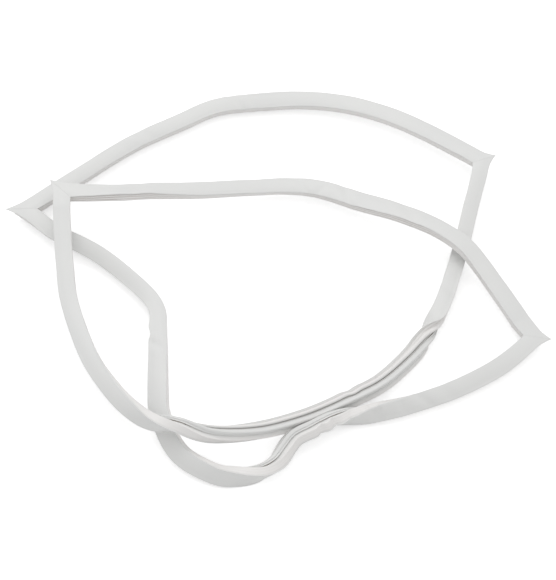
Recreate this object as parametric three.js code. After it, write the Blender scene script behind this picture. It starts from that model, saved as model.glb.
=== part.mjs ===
// Door gasket of a refrigerator, lying loose on a flat surface.
// One soft PVC profile is welded into a closed frame at four mitred corners. Its hollow face holds a
// flexible magnet strip along each side. The frame lies crossed over itself, and one long side
// turns over once on its way.
// Millimetres, +Z up, origin under the middle of the frame at the height of the surface.

import * as THREE from "three";

// The section is drawn with u outwards from the middle of the frame and v from the mounting flange
// towards the sealing face. The underside of the flange is at v = 0.
const WALL = 0.8; // soft wall of the bellows and the magnet pocket
const FACE_HEIGHT = 10; // sealing face above the underside of the flange
const FACE_WALL = 0.8;
const FACE_CROWN = 0.3; // the middle of the face stands proud by this much
const FACE_HALF = 7.2; // half the width of the flat face between its lips
const FACE_FLAT = 3; // half the width of the crown
const OUTER_LIP = 3; // thin lip past the outer edge of the face
const INNER_LIP = 1.2;
const LIP_TIP_DROP = 0.3; // tip and root of a lip lie this far under the face
const LIP_ROOT_DROP = 1.4;
const SIDE_WALL = 1.5; // thicker wall on both sides of the magnet pocket
const STRIP_WIDTH = 8.8; // magnet strip
const STRIP_THICK = 2.3;
const STRIP_CLEARANCE = 0.6; // round the strip in its pocket
const SLOT_WIDTH = 1; // slot in the pocket's floor
const FLANGE_INNER = 7.9; // from the dart's middle to the inner edge of the flange
const FLANGE_OUTER = 4.2; // and to its free outer edge
const FLANGE_THICK = 1.2;
const CREASE_GAP = 0.7; // open crease between the flange and the outer skirt
const SKIRT_WIDTH = 3.8; // curled lower edge of the outer skirt
const SKIRT_DROP = 0.8; // it reaches this far below the flange
const PRESS_SHARE = 0.8; // pressed flat, the bellows lose this share of the room inside them
const FOLD_SHARE = 0.6; // the bellows stand out most at this share of their height
const DART_DEPTH = 5; // dart that pushes into the groove of the door liner
const DART_STEM = 3;
const DART_TIP = 1.4;
const BARB_COUNT = 2;
const BARB_PITCH = 1.9;
const BARB_REACH = 3.4; // widest barb from the middle of the dart
const BARB_STEP = 1.1; // each next barb towards the tip is shorter by this much
const BARB_UNDERCUT = 0.4;

const EAR_REACH = 4; // the outer lip ends in a fin of this length at each mitre
const SPINE_HEIGHT = 3; // the route is that of the point (0, SPINE_HEIGHT) of the section
const STACK_GAP = 1; // air between strands that cross

const STATION_LENGTH = 50; // longest straight piece of the sweep
const STATION_ANGLE = 20; // most that the route turns or the section rolls in one piece

const COLOURS = { pvc: 0xe4e4e1, magnet: 0x4a4643 };

// Route of each side on the surface: [x, y, roll, level, pressed]. Roll is in degrees, with 0 for
// the sealing face up and more for a face that turns inwards. Level is how many strands the side
// lies on. Pressed is how far the bellows are flat, from 0 to 1, and 0 where it isn't given. A side
// starts and ends at a corner, and its first and last pieces are straight.
const CORNER_A = [-235, 100, 0, 1.5];
const CORNER_D = [267, -71, 0, 0];
const CORNER_B = [-279, 98, 0, 0];
const CORNER_C = [229, 160, 0, 0.5];
const turned = ([x, y, roll, level], turns) => [x, y, roll + 360 * turns, level];

const SIDES = {
  top: [
    CORNER_A,
    [-217, 100, -4, 1.45],
    [-175, 104, -18, 1.2],
    [-141, 111, -12, 0.9],
    [-87, 119, 4, 0.5, 0.5],
    [-20, 128, 6, 0.25, 1],
    [13, 130, 7, 0.2, 1],
    [46, 125, 8, 0.2, 0.2],
    [90, 104, 2, 0.4],
    [133, 83.5, -4, 0.7],
    [171, 59, -6, 1],
    [200, 34, -2, 1],
    [222, 4, 2, 0.6],
    [254, -50, 0, 0.05],
    CORNER_D,
  ],
  handle_side: [
    CORNER_D,
    [252, -85, -8, 0],
    [223, -107, -22, 0, 0.2],
    [180, -130.5, -26, 0, 0.2],
    [134, -147.5, -34, 0, 0.2],
    [100, -157, -56, 0.05],
    [73, -165, -98, 0.15],
    [52, -174, -134, 0.35],
    [32, -184, -152, 0.45],
    [14, -192, -158, 0.2],
    [5, -202, -160, 0],
    [-8, -219, -156, 0],
    [-22, -227, -116, 0],
    [-42, -229, -72, 0],
    [-64, -226, -52, 0],
    [-97, -204, -40, 0],
    [-117, -163, -22, 0],
    [-121, -132, -16, 0],
    [-124.5, -64, 0, 0],
    [-128, -33, 0, 0],
    [-147, -4, -18, 0],
    [-192, 39, -26, 0],
    [-241, 67, -10, 0],
    [-264, 86, -3, 0],
    CORNER_B,
  ],
  bottom: [
    CORNER_B,
    [-265, 110, 3, 0],
    [-224, 146, 12, 0],
    [-168, 193, 14, 0],
    [-112, 227, 11, 0],
    [-71, 250, 12, 0],
    [-21, 258, 16, 0],
    [26, 260, 12, 0.05],
    [72, 254, 9, 0.1],
    [119, 237, 8, 0.2],
    [163, 211, 8, 0.3],
    [213, 173, 3, 0.45],
    CORNER_C,
  ],
  hinge_side: [
    CORNER_C,
    [224, 142, -3, 0.4],
    [213, 105, -10, 0.15],
    [200, 55, -6, 0],
    [186, 7, 0, 0],
    [174.5, -27, 16, 0],
    [166, -47, 62, 0],
    [158, -63, 106, 0],
    [150, -79, 122, 0],
    [136, -98, 128, 0],
    [106, -127, 128, 0],
    [66, -150, 124, 0],
    [28, -169, 124, 0.05],
    [-18, -187, 128, 0.45],
    [-62, -193, 142, 0.85],
    [-97, -188, 178, 1.05],
    [-123, -181, 222, 1.05],
    [-144, -166, 264, 0.95],
    [-167, -139, 296, 0.7],
    [-194, -96, 322, 0.5],
    [-218, -33, 345, 0.5],
    [-226, 10, 353, 0.8],
    [-231, 50, 358, 1.15],
    [-234, 82, 360, 1.45],
    turned(CORNER_A, 1),
  ],
};

// Half of the dart, from its tip up to the flange, for one side of it
function dartSide(sign) {
  const points = [[(sign * DART_TIP) / 2, -DART_DEPTH]];
  for (let k = BARB_COUNT; k > 0; k--) {
    const edge = -DART_DEPTH + BARB_PITCH * (BARB_COUNT + 1 - k);
    points.push([sign * (BARB_REACH - BARB_STEP * (k - 1)), edge]);
    points.push([(sign * DART_STEM) / 2, edge + BARB_UNDERCUT]);
  }
  points.push([(sign * DART_STEM) / 2, 0]);
  return points;
}

const pocketHalf = STRIP_WIDTH / 2 + STRIP_CLEARANCE;
const pocketTop = FACE_HEIGHT - FACE_WALL;
const pocketFloor = pocketTop - STRIP_THICK - 2 * STRIP_CLEARANCE;
const webUnder = pocketFloor - WALL;
const pinch = pocketHalf + SIDE_WALL; // the bellows fold in under the pocket
const foldHeight = webUnder * FOLD_SHARE;
const skirtInner = FLANGE_OUTER + CREASE_GAP;
const skirtOuter = skirtInner + SKIRT_WIDTH;

// Points on the round edge of the skirt, by angles in degrees
function curl(radius, angles) {
  const centre = [skirtInner + SKIRT_WIDTH / 2, SKIRT_WIDTH / 2 - SKIRT_DROP];
  return angles.map((angle) => {
    const turn = THREE.MathUtils.degToRad(angle);
    return [centre[0] + radius * Math.cos(turn), centre[1] + radius * Math.sin(turn)];
  });
}

// The whole section as one outline, anticlockwise. The pocket opens by its slot to the bellows, and
// the bellows open by the crease beside the flange, so nothing is sealed.
const outline = [
  ...dartSide(1),
  [FLANGE_OUTER, 0],
  [FLANGE_OUTER, FLANGE_THICK],
  [WALL - FLANGE_INNER, FLANGE_THICK],
  [WALL - FLANGE_INNER, foldHeight],
  [-pocketHalf, webUnder],
  [-SLOT_WIDTH / 2, webUnder],
  [-SLOT_WIDTH / 2, pocketFloor],
  [-pocketHalf, pocketFloor],
  [-pocketHalf, pocketTop],
  [pocketHalf, pocketTop],
  [pocketHalf, pocketFloor],
  [SLOT_WIDTH / 2, pocketFloor],
  [SLOT_WIDTH / 2, webUnder],
  [pocketHalf, webUnder],
  [skirtOuter - WALL, foldHeight],
  ...curl(SKIRT_WIDTH / 2 - WALL, [270, 180]),
  ...curl(SKIRT_WIDTH / 2, [180, 240, 300, 360]),
  [skirtOuter, foldHeight],
  [pinch, webUnder + WALL / 2],
  [FACE_HALF, FACE_HEIGHT - LIP_ROOT_DROP],
  [FACE_HALF + OUTER_LIP, FACE_HEIGHT - LIP_TIP_DROP],
  [FACE_HALF, FACE_HEIGHT],
  [FACE_FLAT, FACE_HEIGHT + FACE_CROWN],
  [-FACE_FLAT, FACE_HEIGHT + FACE_CROWN],
  [-FACE_HALF, FACE_HEIGHT],
  [-FACE_HALF - INNER_LIP, FACE_HEIGHT - LIP_TIP_DROP],
  [-FACE_HALF, FACE_HEIGHT - LIP_ROOT_DROP],
  [-pinch, webUnder + WALL / 2],
  [-FLANGE_INNER, foldHeight],
  [-FLANGE_INNER, 0],
  ...dartSide(-1).reverse(),
];
const lipTip = outline.findIndex(([u]) => u === FACE_HALF + OUTER_LIP);

const stripTop = pocketTop - STRIP_CLEARANCE;
const stripOutline = [
  [-STRIP_WIDTH / 2, stripTop - STRIP_THICK],
  [0, stripTop - STRIP_THICK],
  [STRIP_WIDTH / 2, stripTop - STRIP_THICK],
  [STRIP_WIDTH / 2, stripTop],
  [-STRIP_WIDTH / 2, stripTop],
];

// Height in the section once the bellows are pressed: the flange and all under it come nearer
function pressedHeight(v, pressed) {
  const room = webUnder - FLANGE_THICK;
  return v + pressed * PRESS_SHARE * room * THREE.MathUtils.clamp((webUnder - v) / room, 0, 1);
}

// Height of the spine over the surface when the section touches it at this roll
function restingHeight(roll, pressed) {
  const angle = THREE.MathUtils.degToRad(roll);
  const heights = outline.map(([u, v]) =>
    u * Math.sin(angle) + (pressedHeight(v, pressed) - SPINE_HEIGHT) * Math.cos(angle));
  return -Math.min(...heights);
}
const spans = outline.map(([u, v]) => u * u + (v - SPINE_HEIGHT) ** 2);
const strandHeight = Math.sqrt(Math.max(...spans)) + FACE_HEIGHT - SPINE_HEIGHT + STACK_GAP;

// Outward and face directions of a section that rolls about the tangent
function axesAt(tangent, roll) {
  const left = new THREE.Vector3(0, 0, 1).cross(tangent).normalize();
  const out = left.clone().applyAxisAngle(tangent, THREE.MathUtils.degToRad(roll));
  return { out, face: tangent.clone().cross(out) };
}

// Stations along one side, without its two corners
function stationsOf(points) {
  const plan = new THREE.CatmullRomCurve3(
    points.map(([x, y]) => new THREE.Vector3(x, y, 0)), false, "catmullrom");
  const last = points.length - 1;
  const at = (place) => {
    const piece = Math.min(Math.floor(place), last - 1);
    const [, , roll0, level0, pressed0 = 0] = points[piece];
    const [, , roll1, level1, pressed1 = 0] = points[piece + 1];
    const roll = THREE.MathUtils.lerp(roll0, roll1, place - piece);
    const level = THREE.MathUtils.lerp(level0, level1, place - piece);
    const pressed = THREE.MathUtils.lerp(pressed0, pressed1, place - piece);
    const spot = plan.getPoint(place / last);
    spot.z = restingHeight(roll, pressed) + level * strandHeight;
    return { spot, roll, pressed };
  };
  const tangentAt = (place) => at(place + 0.02).spot.sub(at(place - 0.02).spot).normalize();
  const stations = [];
  for (let piece = 1; piece < last; piece++) {
    const twist = Math.abs(points[piece + 1][2] - points[piece][2]);
    const bend = THREE.MathUtils.radToDeg(tangentAt(piece).angleTo(tangentAt(piece + 0.98)));
    const length = at(piece).spot.distanceTo(at(piece + 1).spot);
    const steps = piece === last - 1 ? 1
      : Math.ceil(Math.max(length / STATION_LENGTH, twist / STATION_ANGLE, bend / STATION_ANGLE));
    for (let k = 0; k < steps; k++) {
      const { spot, roll, pressed } = at(piece + k / steps);
      stations.push({ spot, ...axesAt(tangentAt(piece + k / steps), roll), pressed, ear: 0 });
    }
  }
  return stations;
}

// A mitre between two sides: the section lies in the plane that halves the corner
function mitreAt([x, y, , level], before, after) {
  const spot = new THREE.Vector3(x, y, restingHeight(0, 0) + level * strandHeight);
  const arriving = spot.clone().sub(before.spot).normalize();
  const leaving = after.spot.clone().sub(spot).normalize();
  const face = leaving.clone().cross(arriving).normalize();
  const out = face.clone().cross(arriving).add(face.clone().cross(leaving));
  out.multiplyScalar(2 / out.lengthSq());
  return { spot, out, face, pressed: 0, ear: EAR_REACH };
}

// Points of an outline at a station
function ringAt({ spot, out, face, pressed, ear }, points, isSection) {
  return points.map(([u, v], i) => {
    const reach = isSection && i === lipTip ? u + ear : u;
    const height = pressedHeight(v, pressed) - SPINE_HEIGHT;
    return spot.clone().addScaledVector(out, reach).addScaledVector(face, height);
  });
}

// Body between rings. A loop of rings has no ends, and an open row gets a flat cap at each. The
// diagonal of each four-sided face runs the other way where flip is set.
function sweep(rings, closed, flip) {
  const count = rings[0].length;
  const indices = [];
  const spanCount = closed ? rings.length : rings.length - 1;
  for (let r = 0; r < spanCount; r++) {
    for (let i = 0; i < count; i++) {
      const a = r * count + i;
      const b = r * count + ((i + 1) % count);
      const c = ((r + 1) % rings.length) * count + ((i + 1) % count);
      const d = ((r + 1) % rings.length) * count + i;
      indices.push(...(flip ? [a, b, d, b, c, d] : [a, b, c, a, c, d]));
    }
  }
  const end = (rings.length - 1) * count;
  for (let i = 1; !closed && i < count - 1; i++) {
    indices.push(0, i + 1, i, end, end + i, end + i + 1);
  }
  const geometry = new THREE.BufferGeometry();
  const positions = rings.flat().flatMap((p) => p.toArray());
  geometry.setAttribute("position", new THREE.Float32BufferAttribute(positions, 3));
  geometry.setIndex(indices);
  return geometry;
}

const sideNames = Object.keys(SIDES);
const sideStations = sideNames.map((name) => stationsOf(SIDES[name]));
const loop = sideStations.flatMap((stations, k) => {
  const before = sideStations.at(k - 1).at(-1);
  return [mitreAt(SIDES[sideNames[k]][0], before, stations[0]), ...stations];
});

const pvc = new THREE.MeshStandardMaterial({ color: COLOURS.pvc, roughness: 0.5, metalness: 0 });
const magnetRubber = new THREE.MeshStandardMaterial({
  color: COLOURS.magnet, roughness: 0.7, metalness: 0 });

const group = new THREE.Group();

const profile = new THREE.Mesh(sweep(loop.map((s) => ringAt(s, outline, true)), true, false), pvc);
profile.name = "gasket_profile";
group.add(profile);

sideNames.forEach((name, k) => {
  const rings = sideStations[k].map((s) => ringAt(s, stripOutline, false));
  const strip = new THREE.Mesh(sweep(rings, false, true), magnetRubber);
  strip.name = `magnet_strip_${name}`;
  group.add(strip);
});

const box = new THREE.Box3().setFromObject(profile);
group.position.set(-(box.min.x + box.max.x) / 2, -(box.min.y + box.max.y) / 2, -box.min.z);

export default group;
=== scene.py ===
"""Door gasket of a refrigerator, lying loose and crossed over itself: the finished surface.

The soft profile is swept along nearly the same route as the frame's solid, and turns a little
differently on the hinge side and at the front fold. It has rounded edges, wavy lips, weld beads at the
mitres and the creases that a folded profile keeps.
"""
import math

import bpy
import numpy as np
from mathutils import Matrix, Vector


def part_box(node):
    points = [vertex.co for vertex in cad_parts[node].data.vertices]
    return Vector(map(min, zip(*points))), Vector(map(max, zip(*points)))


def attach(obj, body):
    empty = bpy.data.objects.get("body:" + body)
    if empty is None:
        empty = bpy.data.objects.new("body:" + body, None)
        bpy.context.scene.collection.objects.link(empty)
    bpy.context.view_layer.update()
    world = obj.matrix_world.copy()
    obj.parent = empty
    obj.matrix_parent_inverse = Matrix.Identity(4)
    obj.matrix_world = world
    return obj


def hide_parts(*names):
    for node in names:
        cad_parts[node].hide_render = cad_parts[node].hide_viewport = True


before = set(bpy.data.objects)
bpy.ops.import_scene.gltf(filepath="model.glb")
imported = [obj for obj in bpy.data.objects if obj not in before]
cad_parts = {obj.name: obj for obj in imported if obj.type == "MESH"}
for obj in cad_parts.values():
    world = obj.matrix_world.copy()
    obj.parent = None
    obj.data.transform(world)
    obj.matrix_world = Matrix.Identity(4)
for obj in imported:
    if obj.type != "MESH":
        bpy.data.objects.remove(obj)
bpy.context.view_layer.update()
MM = 0.001

# Section in mm: u outwards, v from the mounting flange towards the sealing face
WALL = 0.8
SIDE_WALL = 1.5
FACE_HEIGHT = 10.0
FACE_CROWN = 0.7
FACE_HALF = 7.2
FACE_FLAT = 3.0
OUTER_LIP = 3.0
INNER_LIP = 1.2
LIP_TIP_DROP = 0.6
LIP_ROOT_DROP = 1.4
LIP_EDGE = 0.7        # thickness of a lip at its edge
PLEAT_DEPTH = 0.7
PLEAT_HALF = 0.45     # from the middle of a pleat to its edge
PLEAT_MARK = 0.01     # offset that marks the middle point of a pleat
PLEAT_HEIGHTS = (7.7, 5.2, 2.4)
POCKET_HALF = 5.0
STRIP_WIDTH = 8.8
STRIP_THICK = 2.3
STRIP_CLEARANCE = 0.6
POCKET_TOP = 9.2
POCKET_FLOOR = 5.7
SLOT_HALF = 0.5
FLANGE_INNER = 7.9
FLANGE_OUTER = 4.2
FLANGE_THICK = 1.2
CREASE_GAP = 0.2
SKIRT_WIDTH = 3.8
SKIRT_DROP = 0.8
FOLD_SHARE = 0.6
PRESS_SHARE = 0.8
WEB_UNDER = POCKET_FLOOR - WALL
DART_DEPTH = 5.0
DART_STEM = 3.0
DART_TIP = 1.4
BARB_COUNT = 2
BARB_PITCH = 1.9
BARB_REACH = 3.4
BARB_STEP = 1.1
BARB_UNDERCUT = 0.4
SPINE_HEIGHT = 3.0
EAR_REACH = 4.0
STACK_GAP = 1.0

# Route of each side: [x, y, roll, level, pressed]. The rolls of the hinge side and the front fold of the
# handle side differ from the frame's own solid
CORNER_A = [-235, 100, 0, 1.5]
CORNER_D = [267, -71, 0, 0]
CORNER_B = [-279, 98, 0, 0]
CORNER_C = [229, 160, 0, 0.5]
SIDES = {
    "top": [
        CORNER_A,
        [-217, 100, -4, 1.45],
        [-175, 104, -18, 1.2],
        [-141, 111, -12, 0.9],
        [-87, 119, 4, 0.5, 0.5],
        [-20, 128, 6, 0.25, 1],
        [13, 130, 7, 0.2, 1],
        [46, 125, 8, 0.2, 0.2],
        [90, 104, 2, 0.4],
        [133, 83.5, -4, 0.7],
        [171, 59, -6, 1],
        [200, 34, -2, 1],
        [222, 4, 2, 0.6],
        [254, -50, 0, 0.05],
        CORNER_D,
    ],
    "handle_side": [
        CORNER_D,
        [252, -85, -8, 0],
        [223, -107, -22, 0, 0.2],
        [180, -130.5, -26, 0, 0.2],
        [134, -147.5, -34, 0, 0.2],
        [100, -157, -56, 0.05],
        [73, -165, -98, 0.15],
        [52, -174, -134, 0.35],
        [32, -184, -152, 0.45],
        [16, -191, -154, 0.2],
        [7, -202, -152, 0],
        [-3, -219, -134, 0],
        [-18, -229, -106, 0],
        [-41, -230, -76, 0],
        [-64, -226, -58, 0],
        [-97, -204, -40, 0],
        [-117, -163, -22, 0],
        [-121, -132, -16, 0],
        [-124.5, -64, 0, 0],
        [-128, -33, 0, 0],
        [-147, -4, -18, 0],
        [-192, 39, -26, 0],
        [-241, 67, -10, 0],
        [-264, 86, -3, 0],
        CORNER_B,
    ],
    "bottom": [
        CORNER_B,
        [-265, 110, 3, 0],
        [-224, 146, 12, 0],
        [-168, 193, 14, 0],
        [-112, 227, 11, 0],
        [-71, 250, 12, 0],
        [-21, 258, 16, 0],
        [26, 260, 12, 0.05],
        [72, 254, 9, 0.1],
        [119, 237, 8, 0.2],
        [163, 211, 8, 0.3],
        [213, 173, 3, 0.45],
        CORNER_C,
    ],
    "hinge_side": [
        CORNER_C,
        [224, 142, -3, 0.4],
        [213, 105, -10, 0.15],
        [200, 55, -6, 0],
        [186, 7, 0, 0],
        [174.5, -27, 0, 0],
        [166, -47, 14, 0],
        [158, -63, 82, 0],
        [150, -79, 130, 0],
        [136, -98, 142, 0],
        [106, -127, 146, 0],
        [66, -150, 146, 0],
        [28, -169, 144, 0.05],
        [-18, -187, 146, 0.45],
        [-62, -193, 170, 0.85],
        [-97, -188, 228, 1.05],
        [-123, -181, 280, 1.05],
        [-144, -166, 312, 0.95],
        [-167, -139, 328, 0.7],
        [-194, -96, 344, 0.5],
        [-218, -33, 353, 0.5],
        [-226, 10, 358, 0.8],
        [-231, 50, 358, 1.15],
        [-234, 82, 360, 1.45],
        CORNER_A[:2] + [360] + CORNER_A[3:],
    ],
}

STATION_STEP = 3.8      # mm between rings
ROLL_EASE = 9.0         # mm over which changes of roll and level are eased
EAR_LENGTH = 9.0        # mm of lip that runs out into a fin at a mitre
WELD_WIDTH = 0.7        # mm from the middle of a weld bead to its foot

# Creases and kinks that the folded profile keeps: side, place on its route, width in mm, depth in mm,
# slant, and the direction in the section that takes the dent, as an angle from outwards
CREASES = [
    ("top", 6.55, 4.0, 0.8, 0.9, 110),
    ("top", 7.05, 5.0, 0.9, -0.7, 120),
    ("top", 7.75, 6.0, 0.9, 0.9, 100),
    ("top", 9.3, 9.0, 0.6, 1.2, 95),
    ("bottom", 5.5, 4.0, 0.9, 0.7, 95),
    ("bottom", 5.9, 5.0, 0.6, 0.5, 150),
    ("bottom", 3.3, 9.0, 0.5, 0.9, 80),
    ("top", 2.6, 9.0, 0.5, -0.8, 85),
    ("handle_side", 3.2, 7.0, 0.7, 0.5, 100),
    ("handle_side", 4.3, 5.0, 1.2, 0.5, 110),
    ("handle_side", 4.9, 4.0, 1.2, -0.4, 115),
    ("handle_side", 5.2, 4.0, 2.4, 0.4, 130),
    ("handle_side", 6.1, 3.4, 1.4, -0.3, 150),
    ("handle_side", 6.9, 3.4, 2.4, 0.3, 145),
    ("handle_side", 7.6, 3.4, 1.8, -0.2, 155),
    ("handle_side", 3.7, 5.0, 1.0, 0.8, 95),
    ("handle_side", 17.9, 5.0, 1.3, 0.7, 15),
    ("handle_side", 17.7, 5.0, 0.8, -0.8, 90),
    ("hinge_side", 3.6, 7.0, 0.9, 0.8, 85),
    ("hinge_side", 4.4, 6.0, 0.8, -0.6, 95),
    ("hinge_side", 10.7, 6.0, 1.0, 0.3, 10),
]

# Local width of the soft profile against its drawn width: side, then place on its route and factor
WIDTHS = {
    "top": [(0, 1.0), (1, 1.0), (5, 0.96), (7, 1.04), (8, 1.1), (9, 1.08), (11, 1.0), (13, 1.06), (14, 1.0)],
    "handle_side": [(0, 1.0), (2, 1.06), (4, 1.0), (8, 1.1), (10, 1.22), (12, 1.24), (14, 1.06), (17, 1.12),
                    (19, 0.93), (21, 1.02), (24, 1.0)],
    "bottom": [(0, 1.0), (3, 0.98), (6, 1.05), (9, 1.05), (12, 1.0)],
    "hinge_side": [(0, 1.0), (2, 0.9), (5, 0.97), (7, 1.08), (10, 1.06), (14, 0.96), (18, 1.0), (23, 1.0)],
}

# How far the inner wall is drawn into fine pleats: side, then place on its route and share
PLEATS = {
    "top": [(0, 1.0), (3, 0.9), (4, 0.1), (6, 0.0), (7, 0.8), (10, 0.9), (11, 0.1), (14, 0.1)],
    "handle_side": [(0, 0.1), (24, 0.1)],
    "bottom": [(0, 0.1), (1, 0.3), (4, 0.15), (12, 0.15)],
    "hinge_side": [(0, 0.1), (20, 0.0), (23, 1.0)],
}


class Val:
    """A node socket with arithmetic, for shader and geometry trees alike."""

    def __init__(self, tree, socket):
        self.tree = tree
        self.socket = socket

    def _math(self, operation, *values):
        return self.tree.node("ShaderNodeMath", {"operation": operation}, list(values))

    def __add__(self, other):
        return self._math("ADD", self, other)

    __radd__ = __add__

    def __sub__(self, other):
        return self._math("SUBTRACT", self, other)

    def __rsub__(self, other):
        return self._math("SUBTRACT", other, self)

    def __mul__(self, other):
        return self._math("MULTIPLY", self, other)

    __rmul__ = __mul__

    def __truediv__(self, other):
        return self._math("DIVIDE", self, other)

    def __mod__(self, other):
        return self._math("MODULO", self, other)

    def floor(self):
        return self._math("FLOOR", self)

    def clamped(self):
        return self._math("MAXIMUM", self._math("MINIMUM", self, 1.0), 0.0)


class Tree:
    """A node tree that is written as function calls."""

    def __init__(self, nodes, links):
        self.nodes = nodes
        self.links = links

    def node(self, kind, settings=None, inputs=None, output=0):
        made = self.nodes.new(kind)
        for name, value in (settings or {}).items():
            if name == "stops":
                for stop, (place, colour) in zip(made.color_ramp.elements, value):
                    stop.position = place
                    stop.color = colour
            else:
                setattr(made, name, value)
        pairs = inputs.items() if isinstance(inputs, dict) else enumerate(inputs or [])
        for name, value in pairs:
            if isinstance(value, Val):
                self.links.new(value.socket, made.inputs[name])
            else:
                made.inputs[name].default_value = value
        return Val(self, made.outputs[output])

    def vector(self, operation, *values):
        inputs = {"Scale": values[1]} if operation == "SCALE" else dict(enumerate(values[1:], 1))
        inputs[0] = values[0]
        return self.node("ShaderNodeVectorMath", {"operation": operation}, inputs)


def dart_side(sign):
    """Half of the dart from its tip up to the flange, with a rounding radius for each point."""
    points = [(sign * DART_TIP / 2, -DART_DEPTH, 0.3)]
    for k in range(BARB_COUNT, 0, -1):
        edge = -DART_DEPTH + BARB_PITCH * (BARB_COUNT + 1 - k)
        points.append((sign * (BARB_REACH - BARB_STEP * (k - 1)), edge, 0.25))
        points.append((sign * DART_STEM / 2, edge + BARB_UNDERCUT, 0.2))
    points.append((sign * DART_STEM / 2, 0.0, 0.3))
    return points


def section_outline():
    """The section as one closed outline, anticlockwise: u, v and rounding radius."""
    pinch = POCKET_HALF + SIDE_WALL
    fold = WEB_UNDER * FOLD_SHARE
    skirt_inner = FLANGE_OUTER + CREASE_GAP
    skirt_outer = skirt_inner + SKIRT_WIDTH

    def curl(radius, angles):
        middle = (skirt_inner + SKIRT_WIDTH / 2, SKIRT_WIDTH / 2 - SKIRT_DROP)
        return [(middle[0] + radius * math.cos(math.radians(a)),
                 middle[1] + radius * math.sin(math.radians(a)), 0.0) for a in angles]

    def pleat(height):
        """A fine line round the inner wall. Its middle point is drawn in where the bellows are pleated."""
        return [(-FLANGE_INNER, height + dv, 0.0) for dv in (PLEAT_HALF, PLEAT_MARK, -PLEAT_HALF)]

    lip_root = FACE_HEIGHT - LIP_ROOT_DROP
    lip_tip = FACE_HEIGHT - LIP_TIP_DROP
    return [
        *dart_side(1),
        (FLANGE_OUTER, 0, 0.35),
        (FLANGE_OUTER, FLANGE_THICK, 0.35),
        (WALL - FLANGE_INNER, FLANGE_THICK, 0.3),
        (WALL - FLANGE_INNER, fold, 0.8),
        (-POCKET_HALF, WEB_UNDER, 0.3),
        (-SLOT_HALF, WEB_UNDER, 0),
        (-SLOT_HALF, POCKET_FLOOR, 0),
        (-POCKET_HALF, POCKET_FLOOR, 0),
        (-POCKET_HALF, POCKET_TOP, 0),
        (POCKET_HALF, POCKET_TOP, 0),
        (POCKET_HALF, POCKET_FLOOR, 0),
        (SLOT_HALF, POCKET_FLOOR, 0),
        (SLOT_HALF, WEB_UNDER, 0),
        (POCKET_HALF, WEB_UNDER, 0.3),
        (skirt_outer - WALL, fold, 0.8),
        *curl(SKIRT_WIDTH / 2 - WALL, [315, 270, 225]),
        *curl(SKIRT_WIDTH / 2, [180, 205, 230, 255, 280, 305, 330, 355]),
        (skirt_outer, fold, 1.6),
        (pinch, WEB_UNDER + WALL / 2, 0.7),
        (FACE_HALF, lip_root, 0.8),
        (FACE_HALF + OUTER_LIP, lip_tip - LIP_EDGE / 2, 0.3),
        (FACE_HALF + OUTER_LIP, lip_tip + LIP_EDGE / 2, 0.3),
        (FACE_HALF, FACE_HEIGHT + 0.05, 1.8),
        (FACE_FLAT, FACE_HEIGHT + FACE_CROWN, 3.0),
        (-FACE_FLAT, FACE_HEIGHT + FACE_CROWN, 3.0),
        (-FACE_HALF, FACE_HEIGHT + 0.05, 1.2),
        (-FACE_HALF - INNER_LIP, lip_tip + LIP_EDGE / 2, 0.3),
        (-FACE_HALF - INNER_LIP, lip_tip - LIP_EDGE / 2, 0.3),
        (-FACE_HALF - 0.6, lip_root, 0.3),
        *[point for height in PLEAT_HEIGHTS for point in pleat(height)],
        (-FLANGE_INNER, 0, 0.6),
        *reversed(dart_side(-1)),
    ]


def rounded(outline):
    """The outline with each corner that has a radius turned into a short arc."""
    out = []
    count = len(outline)
    for i, (u, v, radius) in enumerate(outline):
        here = np.array([u, v])
        if radius <= 0:
            out.append(here)
            continue
        back = np.array(outline[i - 1][:2]) - here
        ahead = np.array(outline[(i + 1) % count][:2]) - here
        reach = min(radius, 0.45 * np.linalg.norm(back), 0.45 * np.linalg.norm(ahead))
        start = here + back / np.linalg.norm(back) * reach
        end = here + ahead / np.linalg.norm(ahead) * reach
        steps = 3 if radius >= 0.7 else 2 if radius >= 0.3 else 1
        for k in range(steps + 1):
            t = k / steps
            out.append((1 - t) ** 2 * start + 2 * t * (1 - t) * here + t ** 2 * end)
    return np.array(out)


OUTLINE = rounded(section_outline())
CORNERS = np.array([p[:2] for p in section_outline()])


def press_weights(v):
    """How far each height in the section moves when the bellows are pressed flat, in mm."""
    room = WEB_UNDER - FLANGE_THICK
    return PRESS_SHARE * room * np.clip((WEB_UNDER - v) / room, 0, 1)


def resting_height(roll, pressed):
    """Height of the spine over the surface when the section touches it, for arrays of rolls."""
    angle = np.radians(roll)[:, None]
    v = CORNERS[:, 1] + pressed[:, None] * press_weights(CORNERS[:, 1]) - SPINE_HEIGHT
    return -(CORNERS[:, 0] * np.sin(angle) + v * np.cos(angle)).min(axis=1)


STRAND_HEIGHT = (np.hypot(CORNERS[:, 0], CORNERS[:, 1] - SPINE_HEIGHT).max()
                 + FACE_HEIGHT - SPINE_HEIGHT + STACK_GAP)


def eased(values, width):
    """The values along a side, smoothed by a bell of this width in stations."""
    reach = int(3 * width) + 1
    bell = np.exp(-0.5 * (np.arange(-reach, reach + 1) / width) ** 2)
    bell /= bell.sum()
    shape = [(reach, reach)] + [(0, 0)] * (values.ndim - 1)
    padded = np.pad(values, shape, mode="reflect", reflect_type="odd")
    if values.ndim == 1:
        return np.convolve(padded, bell, "valid")
    return np.stack([np.convolve(column, bell, "valid") for column in padded.T], axis=1)


def unit(vectors):
    return vectors / np.linalg.norm(vectors, axis=-1, keepdims=True)


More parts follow.
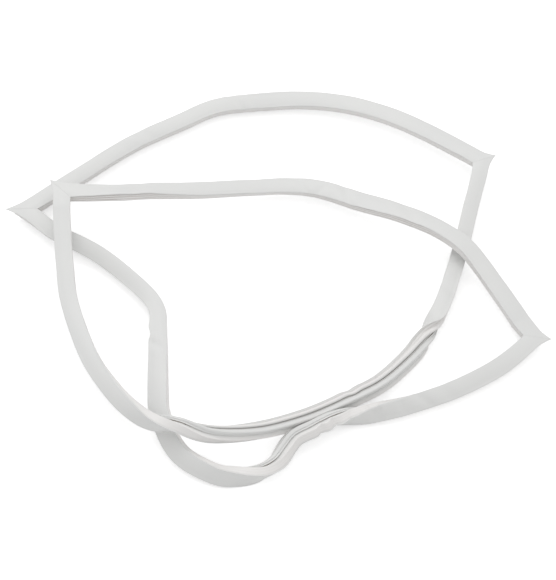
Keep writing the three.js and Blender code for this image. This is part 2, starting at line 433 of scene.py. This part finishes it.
def side_stations(points, widths, folds):
    """Spine, outward and face directions along one side, from its second to its last but one point."""
    points = np.array([point + [0] * (5 - len(point)) for point in points], float)
    last = len(points) - 1
    plan = np.vstack([2 * points[0] - points[1], points, 2 * points[-1] - points[-2]])[:, :2]
    places = [np.linspace(k, k + 1, max(2, round(np.hypot(*(points[k + 1] - points[k])[:2]) / STATION_STEP)),
                          endpoint=False) for k in range(1, last - 1)]
    place = np.append(np.concatenate(places), last - 1)
    piece = np.minimum(place.astype(int), last - 1)
    t = (place - piece)[:, None]
    p0, p1, p2, p3 = (plan[piece + k] for k in range(4))
    m1, m2 = 0.5 * (p2 - p0), 0.5 * (p3 - p1)
    xy = (p1 + m1 * t + (3 * (p2 - p1) - 2 * m1 - m2) * t ** 2 + (2 * (p1 - p2) + m1 + m2) * t ** 3)
    ease = ROLL_EASE / STATION_STEP
    roll = eased(np.interp(place, np.arange(last + 1), points[:, 2]), ease)
    level = np.maximum(eased(np.interp(place, np.arange(last + 1), points[:, 3]), ease), 0)
    pressed = np.clip(eased(np.interp(place, np.arange(last + 1), points[:, 4]), ease), 0, 1)
    rest = resting_height(roll, pressed)
    height = np.maximum(eased(rest, 2.0) + level * STRAND_HEIGHT, rest)
    spine = np.column_stack([xy, height])
    tangent = unit(np.gradient(spine, axis=0))
    left = unit(np.cross([0, 0, 1.0], tangent))
    up = np.cross(tangent, left)
    angle = np.radians(roll)[:, None]
    out = left * np.cos(angle) + up * np.sin(angle)
    face = up * np.cos(angle) - left * np.sin(angle)
    spread = eased(np.interp(place, *np.array(widths, float).T), 2 * ease)
    pleats = eased(np.interp(place, *np.array(folds, float).T), 2 * ease)
    return {"spine": spine, "out": out, "face": face, "pressed": pressed, "spread": spread,
            "pleats": pleats, "place": place}


def mitre(corner, before, after):
    """The mitre plane between two sides: spine, stretched outward direction and face direction."""
    height = resting_height(np.zeros(1), np.zeros(1))[0] + corner[3] * STRAND_HEIGHT
    spot = np.array([corner[0], corner[1], height])
    arriving = unit(spot - before)
    leaving = unit(after - spot)
    face = unit(np.cross(leaving, arriving))
    out = np.cross(face, arriving) + np.cross(face, leaving)
    return spot, out * 2 / (out @ out), face


def loop_stations():
    """All stations round the loop. Beside a mitre they turn step by step into its plane."""
    names = list(SIDES)
    sides = [side_stations(SIDES[name], WIDTHS[name], PLEATS[name]) for name in names]
    keys = ("spine", "out", "face", "pressed", "spread", "pleats", "ear", "bead", "free", "side", "place")
    rows = {key: [] for key in keys}

    def add(*values):
        for key, value in zip(rows, values, strict=True):
            rows[key].append(value)

    for k, side in enumerate(sides):
        before = sides[k - 1]
        corner = mitre(SIDES[names[k]][0], before["spine"][-1], side["spine"][0])
        for target, ahead in ((before, False), (side, True)):
            end = 0 if ahead else -1
            leg = np.linalg.norm(target["spine"][end] - corner[0])
            gaps = [WELD_WIDTH, 1.6 * WELD_WIDTH, *np.arange(3.0, leg - 1.0, STATION_STEP)]
            if not ahead:
                gaps = gaps[::-1]
            steps = [(gap, gap / leg) for gap in gaps]
            if ahead:
                steps.insert(0, (0.0, 0.0))
            for gap, share in steps:
                mix = [(1 - share) * a + share * b for a, b in
                       zip(corner, (target["spine"][end], target["out"][end], target["face"][end]))]
                spread = 1 + share * (target["spread"][end] - 1)
                ear = max(0.0, 1 - gap / EAR_LENGTH) ** 1.5
                add(*mix, share * target["pressed"][end], spread, target["pleats"][end], ear,
                    float(gap < 0.5 * WELD_WIDTH), 0.3 * share, k, -1)
        count = len(side["spine"])
        near = np.minimum(np.arange(count), np.arange(count)[::-1]) / 8
        for i in range(count):
            add(*(side[key][i] for key in keys[:6]), 0.0, 0.0, 0.3 + 0.7 * min(1.0, near[i]), k,
                side["place"][i])
    return {key: np.array(value) for key, value in rows.items()}


stations = loop_stations()
stations["run"] = np.concatenate([[0], np.cumsum(np.linalg.norm(np.diff(stations["spine"], axis=0), axis=1))])
RUN_LENGTH = stations["run"][-1] + np.linalg.norm(stations["spine"][0] - stations["spine"][-1])


def point_mesh(name, points, attributes):
    """A mesh of loose points that carries named values, read by the sweep."""
    mesh = bpy.data.meshes.new(name)
    mesh.from_pydata([tuple(p) for p in points], [], [])
    for key, values in attributes.items():
        values = np.asarray(values, float)
        kind = "FLOAT_VECTOR" if values.ndim == 2 else "FLOAT"
        layer = mesh.attributes.new(key, kind, "POINT")
        layer.data.foreach_set("vector" if values.ndim == 2 else "value", values.ravel())
    return bpy.data.objects.new(name, mesh)


def section_values():
    """Normals and weights of the outline's points: which belong to a lip or a soft wall."""
    ahead = np.roll(OUTLINE, -1, axis=0) - np.roll(OUTLINE, 1, axis=0)
    normal = unit(np.column_stack([ahead[:, 1], -ahead[:, 0]]))
    u, v = OUTLINE.T
    outer_lip = np.clip((u - FACE_HALF) / OUTER_LIP, 0, 1) * (v > FACE_HEIGHT - 2.2)
    inner_lip = np.clip((-u - FACE_HALF) / INNER_LIP, 0, 1) * (v > FACE_HEIGHT - 2.2)
    wall = np.exp(-((v - 3.4) / 2.2) ** 2) * np.clip((abs(u) - 4.5) / 2.0, 0, 1)
    return normal, outer_lip, inner_lip, wall


def sweep_tree(name, material):
    """Geometry Nodes: a grid whose rows are stations and whose columns are the section's points."""
    group = bpy.data.node_groups.new(name, "GeometryNodeTree")
    sockets = [("Stations", "NodeSocketObject", None), ("Section", "NodeSocketObject", None),
               ("Station Count", "NodeSocketInt", 1), ("Section Count", "NodeSocketInt", 1),
               ("Ear Reach", "NodeSocketFloat", 0.0), ("Weld Height", "NodeSocketFloat", 0.0),
               ("Lip Wave", "NodeSocketFloat", 0.0), ("Wall Wave", "NodeSocketFloat", 0.0),
               ("Pleat Depth", "NodeSocketFloat", 0.0)]
    group.interface.new_socket("Mesh", in_out="OUTPUT", socket_type="NodeSocketGeometry")
    for label, kind, value in sockets:
        item = group.interface.new_socket(label, in_out="INPUT", socket_type=kind)
        if value is not None:
            item.default_value = value
    tree = Tree(group.nodes, group.links)
    entry = group.nodes.new("NodeGroupInput")
    given = {label: Val(tree, entry.outputs[label]) for label, _, _ in sockets}

    rows = given["Station Count"] + 1
    columns = given["Section Count"] + 1
    grid = tree.node("GeometryNodeMeshGrid", None, {"Vertices X": rows, "Vertices Y": columns})
    index = tree.node("GeometryNodeInputIndex")
    row = (index / columns + 1e-4).floor()
    column = (index % columns + 0.5).floor()
    info = {key: tree.node("GeometryNodeObjectInfo", None, {"Object": given[key]}, "Geometry")
            for key in ("Stations", "Section")}

    def sample(source, key, place, vector=False):
        kind = "FLOAT_VECTOR" if vector else "FLOAT"
        value = tree.node("GeometryNodeInputNamedAttribute", {"data_type": kind}, {"Name": key})
        return tree.node("GeometryNodeSampleIndex", {"data_type": kind, "domain": "POINT"},
                         {"Geometry": info[source], "Value": value, "Index": place})

    station = row % given["Station Count"]
    point = column % given["Section Count"]
    spine = sample("Stations", "spine", station, True)
    out = sample("Stations", "out", station, True)
    face = sample("Stations", "face", station, True)
    run = sample("Stations", "run", station)
    free = sample("Stations", "free", station)
    outer_lip = sample("Section", "outer_lip", point)
    inner_lip = sample("Section", "inner_lip", point)
    wall = sample("Section", "wall", point)
    normal_u = sample("Section", "normal_u", point)
    normal_v = sample("Section", "normal_v", point)

    def wave(length, seed):
        place = run / length + seed
        noise = tree.node("ShaderNodeTexNoise", {"noise_dimensions": "1D"},
                          {"W": place, "Scale": 1.0, "Detail": 2.0, "Roughness": 0.5})
        return (noise - 0.5) * 2.0

    side = sample("Section", "side", point)
    lip_rise = (outer_lip * wave(55.0, 3.0) + inner_lip * wave(48.0, 17.0)) * given["Lip Wave"] * free
    wall_rise = wall * (wave(36.0, 31.0) + side * wave(44.0, 57.0)) * given["Wall Wave"] * free
    proud = wall_rise + sample("Stations", "bead", station) * given["Weld Height"]
    ear = sample("Stations", "ear", station) * given["Ear Reach"] * outer_lip
    pleat = sample("Section", "pleat", point) * sample("Stations", "pleats", station)
    u = sample("Section", "u", point) * sample("Stations", "spread", station) + ear + normal_u * proud
    u = u + pleat * given["Pleat Depth"]
    pressed = sample("Section", "press", point) * sample("Stations", "pressed", station)
    v = sample("Section", "v", point) + pressed + lip_rise + normal_v * proud
    place = tree.vector("ADD", tree.vector("ADD", spine, tree.vector("SCALE", out, u)),
                        tree.vector("SCALE", face, v))
    placed = tree.node("GeometryNodeSetPosition", None,
                       {"Geometry": grid, "Position": tree.vector("SCALE", place, MM)})

    section_uv = tree.node("ShaderNodeCombineXYZ", None, [sample("Section", "u", point), v, 0.0])
    whole_run = tree.node("GeometryNodeSwitch", {"input_type": "FLOAT"},
                          {"Switch": tree.node("FunctionNodeCompare", {"operation": "GREATER_EQUAL"},
                                               {"A": row, "B": given["Station Count"] - 0.5}),
                           "False": run, "True": float(RUN_LENGTH)})
    sweep_uv = tree.node("ShaderNodeCombineXYZ", None, [whole_run * MM, column / given["Section Count"], 0.0])
    stored = placed
    for key, kind, domain, value in (("section", "FLOAT_VECTOR", "POINT", section_uv),
                                     ("run", "FLOAT", "POINT", run),
                                     # recess: how much painted shade each point gets, more along the drawn-in
                                     # pleats
                                     ("recess", "FLOAT", "POINT", sample("Section", "recess", point) + pleat),
                                     ("under", "FLOAT", "POINT", sample("Section", "under", point)),
                                     ("held", "FLOAT", "POINT", sample("Section", "held", point)),
                                     ("sweep", "FLOAT2", "CORNER", sweep_uv)):
        stored = tree.node("GeometryNodeStoreNamedAttribute", {"data_type": kind, "domain": domain},
                           {"Geometry": stored, "Name": key, "Value": value})
    closed = tree.node("GeometryNodeMergeByDistance", None, {"Geometry": stored, "Distance": 2e-6})
    real = tree.node("GeometryNodeRealizeInstances", None, {"Geometry": closed})
    made = tree.node("GeometryNodeSetMaterial", None, {"Geometry": real, "Material": material})
    leave = group.nodes.new("NodeGroupOutput")
    group.links.new(made.socket, leave.inputs["Mesh"])
    return group


def swept_profile(material):
    """The whole gasket as one closed mesh, made by the sweep and then detached from it."""
    normal, outer_lip, inner_lip, wall = section_values()
    guide = point_mesh("stations", stations["spine"],
                       {key: stations[key] for key in ("spine", "out", "face", "pressed", "spread", "pleats",
                                                       "ear", "bead", "free", "run")})
    u, v = OUTLINE.T
    section = point_mesh("section", np.column_stack([u, v, 0 * u]),
                         {"u": u, "v": v - SPINE_HEIGHT, "normal_u": normal[:, 0],
                          "normal_v": normal[:, 1], "outer_lip": outer_lip, "inner_lip": inner_lip,
                          "wall": wall, "side": np.sign(u), "press": press_weights(v),
                          # painted light: marks the lower side walls, which the material lightens as if lit
                          # from the floor
                          "under": np.clip((9.0 - v) / 2.0, 0, 1) * np.clip(abs(u) - 6.0, 0, 1),
                          "held": pocket_points(), "pleat": pleat_points(), "recess": recess_weights()})
    base = bpy.data.objects.new("sweep_base", bpy.data.meshes.new("sweep_base"))
    bpy.context.collection.objects.link(base)
    tree = sweep_tree("gasket_sweep", material)
    modifier = base.modifiers.new("sweep", "NODES")
    modifier.node_group = tree
    values = {"Stations": guide, "Section": section, "Station Count": len(stations["run"]),
              "Section Count": len(OUTLINE), "Ear Reach": EAR_REACH, "Weld Height": 0.3,
              "Lip Wave": 0.9, "Wall Wave": 0.5, "Pleat Depth": PLEAT_DEPTH}
    for item in tree.interface.items_tree:
        if item.in_out == "INPUT":
            modifier[item.identifier] = values[item.name]
    depsgraph = bpy.context.evaluated_depsgraph_get()
    mesh = bpy.data.meshes.new_from_object(base.evaluated_get(depsgraph), depsgraph=depsgraph)
    mesh.name = "gasket_skin"
    for helper in (base, guide, section):
        bpy.data.objects.remove(helper)
    return mesh


def pleat_points():
    """1 for the middle point of each pleat in the inner wall."""
    u, v = OUTLINE.T
    marks = [height + PLEAT_MARK for height in PLEAT_HEIGHTS]
    return 1.0 * (u < -FLANGE_INNER + 0.01) * np.isclose(v[:, None], marks).any(axis=1)


def pocket_points():
    """1 for the outline's points on the magnet pocket, which no crease may move."""
    u, v = OUTLINE.T
    return 1.0 * ((abs(u) < POCKET_HALF + 0.01) & (v > WEB_UNDER - 0.01) & (v < POCKET_TOP + 0.01))


def recess_weights():
    """How deep each outline point lies in a crevice: 1 in the creases, 0 on open walls. The material paints
    shade by this weight.
    """
    u, v = OUTLINE.T
    crease = np.exp(-((u - FLANGE_OUTER - CREASE_GAP / 2) / 0.6) ** 2) * (v < 3.0)
    barbs = (abs(u) < DART_STEM / 2 + 0.1) * (v > BARB_PITCH - DART_DEPTH) * (v < 0.6)
    pinch = np.exp(-((abs(u) - POCKET_HALF - SIDE_WALL) / 0.5) ** 2) * np.exp(-((v - 5.3) / 0.7) ** 2)
    under_lip = np.exp(-((abs(u) - FACE_HALF) / 0.6) ** 2) * np.exp(-((v - 8.5) / 0.4) ** 2)
    return np.clip(0.4 * crease + barbs + 0.3 * pinch + 0.3 * under_lip, 0, 1)


def pvc_material():
    """Off-white soft PVC: satin skin with fine lines along the extrusion, painted shade in the crevices and
    painted floor light on the lower side walls.
    """
    material = bpy.data.materials.new("soft_pvc_satin")
    material.use_nodes = True
    tree = Tree(material.node_tree.nodes, material.node_tree.links)
    shader = material.node_tree.nodes["Principled BSDF"]
    place = tree.node("ShaderNodeTexCoord", output="Object")
    sweep = tree.node("ShaderNodeUVMap", {"uv_map": "sweep"})
    recess = tree.node("ShaderNodeAttribute", {"attribute_name": "recess"}, None, "Fac")
    under = tree.node("ShaderNodeAttribute", {"attribute_name": "under"}, None, "Fac")

    cloud = tree.node("ShaderNodeTexNoise", None, {"Vector": place, "Scale": 14.0, "Detail": 4.0})
    stretched = tree.node("ShaderNodeMapping", None, {"Vector": sweep, "Scale": (6.0, 260.0, 1.0)})
    lines = tree.node("ShaderNodeTexNoise", None, {"Vector": stretched, "Scale": 1.0, "Detail": 3.0})
    grain = tree.node("ShaderNodeTexNoise", None, {"Vector": place, "Scale": 2600.0, "Detail": 2.0})

    tone = tree.node("ShaderNodeMix", {"data_type": "RGBA"},
                     {"Factor": cloud, 6: (0.74, 0.745, 0.74, 1), 7: (0.79, 0.79, 0.775, 1)}, 2)
    # Painted light: the lower side walls are lightened and warmed as if by light bounced up from the floor
    painted_bounce_light = tree.node("ShaderNodeMix", {"data_type": "RGBA"},
                      {"Factor": (under * (0.55 + 0.3 * cloud)).clamped(), 6: tone,
                       7: (0.90, 0.88, 0.865, 1)}, 2)
    # Painted shade: crevices, barbs, pinch, lip roots and pleat lines are darkened towards warm brown by the
    # recess weight
    painted_crevice_shade = tree.node("ShaderNodeMix", {"data_type": "RGBA"},
                     {"Factor": (recess * 0.8).clamped(), 6: painted_bounce_light, 7: (0.36, 0.29, 0.25, 1)}, 2)
    tree.links.new(painted_crevice_shade.socket, shader.inputs["Base Color"])
    tree.links.new((0.40 + 0.10 * cloud + 0.06 * lines).socket, shader.inputs["Roughness"])
    bump = tree.node("ShaderNodeBump", None,
                     {"Height": lines * 0.7 + grain * 0.3, "Strength": 0.25, "Distance": 0.00012})
    tree.links.new(bump.socket, shader.inputs["Normal"])
    shader.inputs["IOR"].default_value = 1.52
    return material


def magnet_material():
    """Dark brown magnet rubber with a fine pressed grain."""
    material = bpy.data.materials.new("magnet_rubber_dark")
    material.use_nodes = True
    tree = Tree(material.node_tree.nodes, material.node_tree.links)
    shader = material.node_tree.nodes["Principled BSDF"]
    place = tree.node("ShaderNodeTexCoord", output="Object")
    grain = tree.node("ShaderNodeTexNoise", None, {"Vector": place, "Scale": 900.0, "Detail": 3.0})
    tone = tree.node("ShaderNodeMix", {"data_type": "RGBA"},
                     {"Factor": grain, 6: (0.055, 0.05, 0.046, 1), 7: (0.085, 0.078, 0.07, 1)}, 2)
    tree.links.new(tone.socket, shader.inputs["Base Color"])
    tree.links.new((0.6 + 0.2 * grain).socket, shader.inputs["Roughness"])
    bump = tree.node("ShaderNodeBump", None, {"Height": grain, "Strength": 0.3, "Distance": 0.0002})
    tree.links.new(bump.socket, shader.inputs["Normal"])
    return material


def read_floats(mesh, key, width):
    values = np.empty(len(mesh.vertices) * width, np.float32)
    data = mesh.vertices if key == "co" else mesh.attributes[key].data
    data.foreach_get({"co": "co"}.get(key, "vector" if width == 3 else "value"), values)
    return values.reshape(-1, width).astype(float) if width > 1 else values.astype(float)


def crease(mesh):
    """Press the kept creases into the soft walls, each a slanted dent with a ridge on both sides."""
    spots = read_floats(mesh, "co", 3)
    section = read_floats(mesh, "section", 3)[:, :2]
    run = read_floats(mesh, "run", 1)
    loose = 1 - read_floats(mesh, "held", 1)
    names = list(SIDES)
    move = np.zeros((len(spots), 2))
    for side, place, width, depth, slant, toward in CREASES:
        rows = np.where((stations["side"] == names.index(side)) & (stations["place"] >= 0))[0]
        middle = np.interp(place, stations["place"][rows], stations["run"][rows])
        direction = np.array([math.cos(math.radians(toward)), math.sin(math.radians(toward))])
        across = section @ np.array([-direction[1], direction[0]])
        facing = np.clip((section @ direction) / 6.0, 0, 1)
        x = (run - middle - slant * across) / width
        move -= (depth * loose * facing * (1 - x ** 2) * np.exp(-x ** 2 / 2))[:, None] * direction
    index = np.searchsorted(stations["run"], run - 1e-3)
    index = np.clip(index, 0, len(stations["run"]) - 1)
    spots += (stations["out"][index] * move[:, :1] + stations["face"][index] * move[:, 1:]) * MM
    mesh.vertices.foreach_set("co", spots.astype(np.float32).ravel())


def set_on_frame(mesh):
    """Move the mesh, not its object, so that it lies where the frame's solid lies."""
    spots = read_floats(mesh, "co", 3)
    low, high = (np.array(corner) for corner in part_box("gasket_profile"))
    middle = (spots.min(axis=0) + spots.max(axis=0)) / 2
    shift = (low + high) / 2 - middle
    shift[2] = low[2] - spots[:, 2].min()
    spots += shift
    mesh.vertices.foreach_set("co", spots.astype(np.float32).ravel())
    return shift


def add_gasket():
    material = pvc_material()
    mesh = swept_profile(material)
    crease(mesh)
    shift = set_on_frame(mesh)
    mesh.shade_smooth()
    mesh.set_sharp_from_angle(angle=math.radians(50))
    skin = bpy.data.objects.new("gasket_skin", mesh)
    bpy.context.collection.objects.link(skin)
    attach(skin, "root")
    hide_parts("gasket_profile")
    return shift


def strip_mesh(name, rows, shift):
    """A magnet strip with rounded edges, lying in its pocket along one side."""
    half, top = STRIP_WIDTH / 2, POCKET_TOP - STRIP_CLEARANCE
    low = top - STRIP_THICK
    outline = rounded([(-half, low, 0.3), (half, low, 0.3), (half, top, 0.3), (-half, top, 0.3)])
    count = len(outline)
    out, face = stations["out"][rows], stations["face"][rows]
    rings = (stations["spine"][rows][:, None] + out[:, None] * outline[None, :, :1]
             + face[:, None] * (outline[None, :, 1:] - SPINE_HEIGHT))
    faces = [(r * count + i, r * count + (i + 1) % count,
              (r + 1) * count + (i + 1) % count, (r + 1) * count + i)
             for r in range(len(rows) - 1) for i in range(count)]
    faces += [tuple(range(count))[::-1], tuple(range((len(rows) - 1) * count, len(rows) * count))]
    mesh = bpy.data.meshes.new(name)
    mesh.from_pydata((rings.reshape(-1, 3) * MM + shift).tolist(), [], faces)
    return mesh


def add_strips(shift):
    material = magnet_material()
    for k, side in enumerate(SIDES):
        rows = np.where((stations["side"] == k) & (stations["place"] >= 1))[0]
        mesh = strip_mesh("strip_" + side, rows, shift)
        mesh.materials.append(material)
        mesh.shade_smooth()
        mesh.set_sharp_from_angle(angle=math.radians(40))
        strip = bpy.data.objects.new("strip_" + side, mesh)
        bpy.context.collection.objects.link(strip)
        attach(strip, "root")
        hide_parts("magnet_strip_" + side)


def add_camera(shift):
    """The photograph's view: 55 degrees down on the middle of the route, through a long lens."""
    elevation = math.radians(55)
    distance = 1.700
    camera = bpy.data.objects.new("camera", bpy.data.cameras.new("camera"))
    camera.data.sensor_fit = "HORIZONTAL"
    camera.data.angle = math.radians(20)
    camera.data.clip_end = 50
    camera.location = (shift[0], shift[1] - distance * math.cos(elevation), distance * math.sin(elevation))
    camera.rotation_euler = (math.radians(90) - elevation, 0, 0)
    bpy.context.collection.objects.link(camera)
    bpy.context.scene.camera = camera


def add_floor():
    """A plain white floor that keeps the gasket's soft shadow."""
    mesh = bpy.data.meshes.new("floor")
    half = 12
    corners = [(-half, -half, 0), (half, -half, 0), (half, half, 0), (-half, half, 0)]
    mesh.from_pydata(corners, [], [(0, 1, 2, 3)])
    material = bpy.data.materials.new("floor_white")
    material.use_nodes = True
    tree = Tree(material.node_tree.nodes, material.node_tree.links)
    shader = material.node_tree.nodes["Principled BSDF"]
    shader.inputs["Base Color"].default_value = (0.80, 0.80, 0.80, 1)
    shader.inputs["Roughness"].default_value = 0.9
    shader.inputs["Specular IOR Level"].default_value = 0.1
    path = material.node_tree.nodes.new("ShaderNodeLightPath")
    seen = Val(tree, path.outputs["Is Camera Ray"]) + Val(tree, path.outputs["Is Glossy Ray"])
    glow = tree.node("ShaderNodeEmission", None,
                     {"Color": (1, 1, 1, 1),
                      "Strength": (seen + Val(tree, path.outputs["Is Transmission Ray"])) * 0.5})
    both = tree.node("ShaderNodeAddShader", None, [Val(tree, shader.outputs[0]), glow])
    tree.links.new(both.socket, material.node_tree.nodes["Material Output"].inputs["Surface"])
    mesh.materials.append(material)
    floor = bpy.data.objects.new("floor", mesh)
    bpy.context.collection.objects.link(floor)


def add_area(name, spot, aim, size, power):
    lamp = bpy.data.lights.new(name, "AREA")
    lamp.shape = "RECTANGLE"
    lamp.size, lamp.size_y = size
    lamp.energy = power
    holder = bpy.data.objects.new(name, lamp)
    holder.location = spot
    direction = np.array(aim, float) - np.array(spot, float)
    flat = math.hypot(direction[0], direction[1])
    turn = math.atan2(direction[1], direction[0]) - math.pi / 2
    holder.rotation_euler = (math.atan2(flat, -direction[2]), 0, turn)
    bpy.context.collection.objects.link(holder)


def add_light():
    add_area("key_from_behind", (-0.6, 1.3, 1.9), (0, 0, 0), (1.4, 1.0), 11)
    add_area("fill_above", (0.5, -0.2, 2.4), (0, 0, 0), (2.0, 2.0), 6)
    world = bpy.data.worlds.new("studio")
    bpy.context.scene.world = world
    world.use_nodes = True
    tree = Tree(world.node_tree.nodes, world.node_tree.links)
    path = world.node_tree.nodes.new("ShaderNodeLightPath")
    camera_ray = Val(tree, path.outputs["Is Camera Ray"])
    back = world.node_tree.nodes["Background"]
    back.inputs["Color"].default_value = (1, 1, 1, 1)
    tree.links.new((camera_ray * 0.28 + 0.72).socket, back.inputs["Strength"])


shift = add_gasket()
add_strips(shift)
add_camera(shift)
add_floor()
add_light()
bpy.context.scene.view_settings.view_transform = "Standard"
